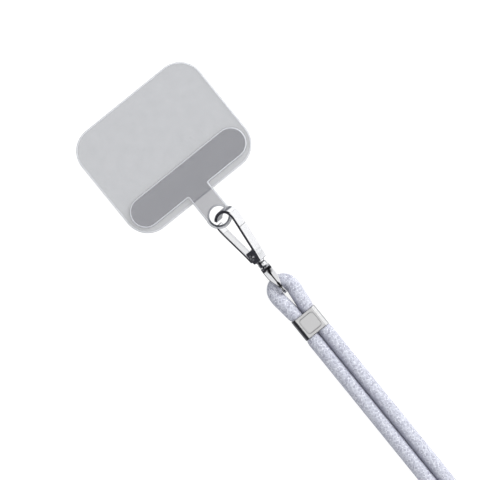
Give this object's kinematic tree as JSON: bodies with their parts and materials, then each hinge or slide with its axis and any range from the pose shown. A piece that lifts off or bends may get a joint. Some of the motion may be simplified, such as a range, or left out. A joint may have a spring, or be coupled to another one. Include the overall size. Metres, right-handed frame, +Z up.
{
  "type": "phone crossbody strap",
  "caption": "Phone crossbody strap: clear adhesive pad and tether tab, small swivel snap hook with spring gate, metal clamp, and a grey braided cord in one wide loop.",
  "frame": {"origin": "middle of the adhesive pad's sticky face, which lies on the table", "axes": "+Y from the cord loop towards the pad, along the strap; +Z up from the table; X across"},
  "size_m": [0.284, 0.5811, 0.0092],
  "materials": {
    "clear_film": "clear polymer film, glossy, slightly grey",
    "polished_metal": "polished plated metal",
    "satin_metal": "satin metal with polished edges",
    "braided_cord": "finely braided pale lilac-grey polyester cord, matte"
  },
  "bodies": {
    "strap": {"cord_loop": "braided_cord", "cord_bight": "braided_cord", "cord_clamp": "satin_metal", "swivel_eye": "polished_metal"},
    "hook": {"hook_frame": "polished_metal", "gate_rivet": "polished_metal", "tether_tab": "clear_film", "adhesive_pad": "clear_film"},
    "gate": {"gate": "polished_metal"}
  },
  "joints": [
    {"name": "hook_swivel", "type": "hinge", "parent": "strap", "child": "hook", "pos_m": [0.001, -0.04295, 0.00395], "axis": [0, 0.9984, 0.0558], "continuous": true},
    {"name": "gate_hinge", "type": "hinge", "parent": "hook", "child": "gate", "pos_m": [0.00093, -0.04085, 0.00399], "axis": [0.7431, 0.0374, -0.6681], "range_deg": [0, 12], "stiffness_Nm_per_rad": 0.05, "springref_deg": -11.46}
  ]
}
